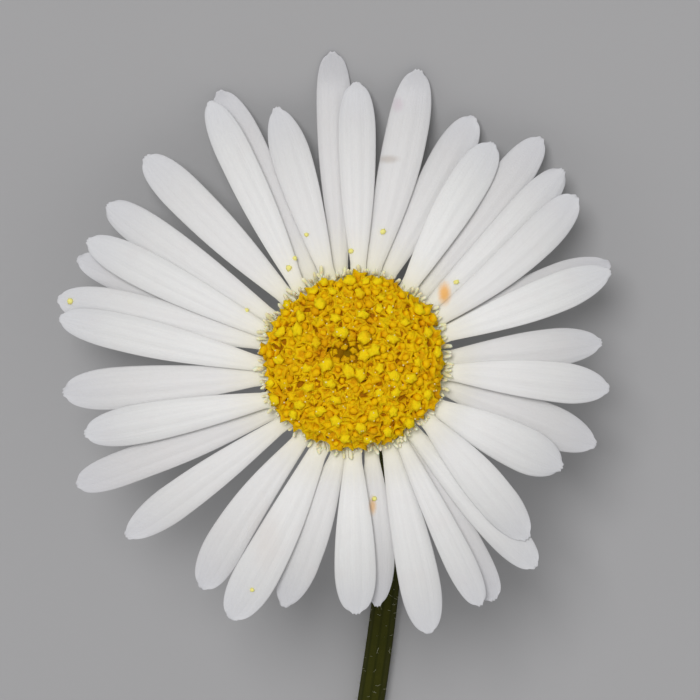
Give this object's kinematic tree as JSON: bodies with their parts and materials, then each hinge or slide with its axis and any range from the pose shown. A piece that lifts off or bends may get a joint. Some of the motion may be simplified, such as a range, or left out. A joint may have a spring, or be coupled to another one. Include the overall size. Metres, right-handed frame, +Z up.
{
  "type": "cut daisy flower",
  "caption": "Small picked daisy lying on its bent stem: white notched petals round a golden disc of tiny florets, over a green cup of bracts.",
  "frame": {"origin": "on the surface that the flower lies on, under the middle of its bounding box", "axes": "+Z up off the surface; +Y along the lying stem, away from the head; the flower's face looks up and towards -Y"},
  "size_m": [0.0196, 0.0528, 0.0108],
  "materials": {
    "petal_white": "matte",
    "disc_yellow": "matte",
    "cup_green": "matte",
    "stem_green": "matte"
  },
  "bodies": {
    "root": {"ray_florets": "petal_white", "disc_florets": "disc_yellow", "involucre": "cup_green", "stem": "stem_green"}
  },
  "joints": []
}
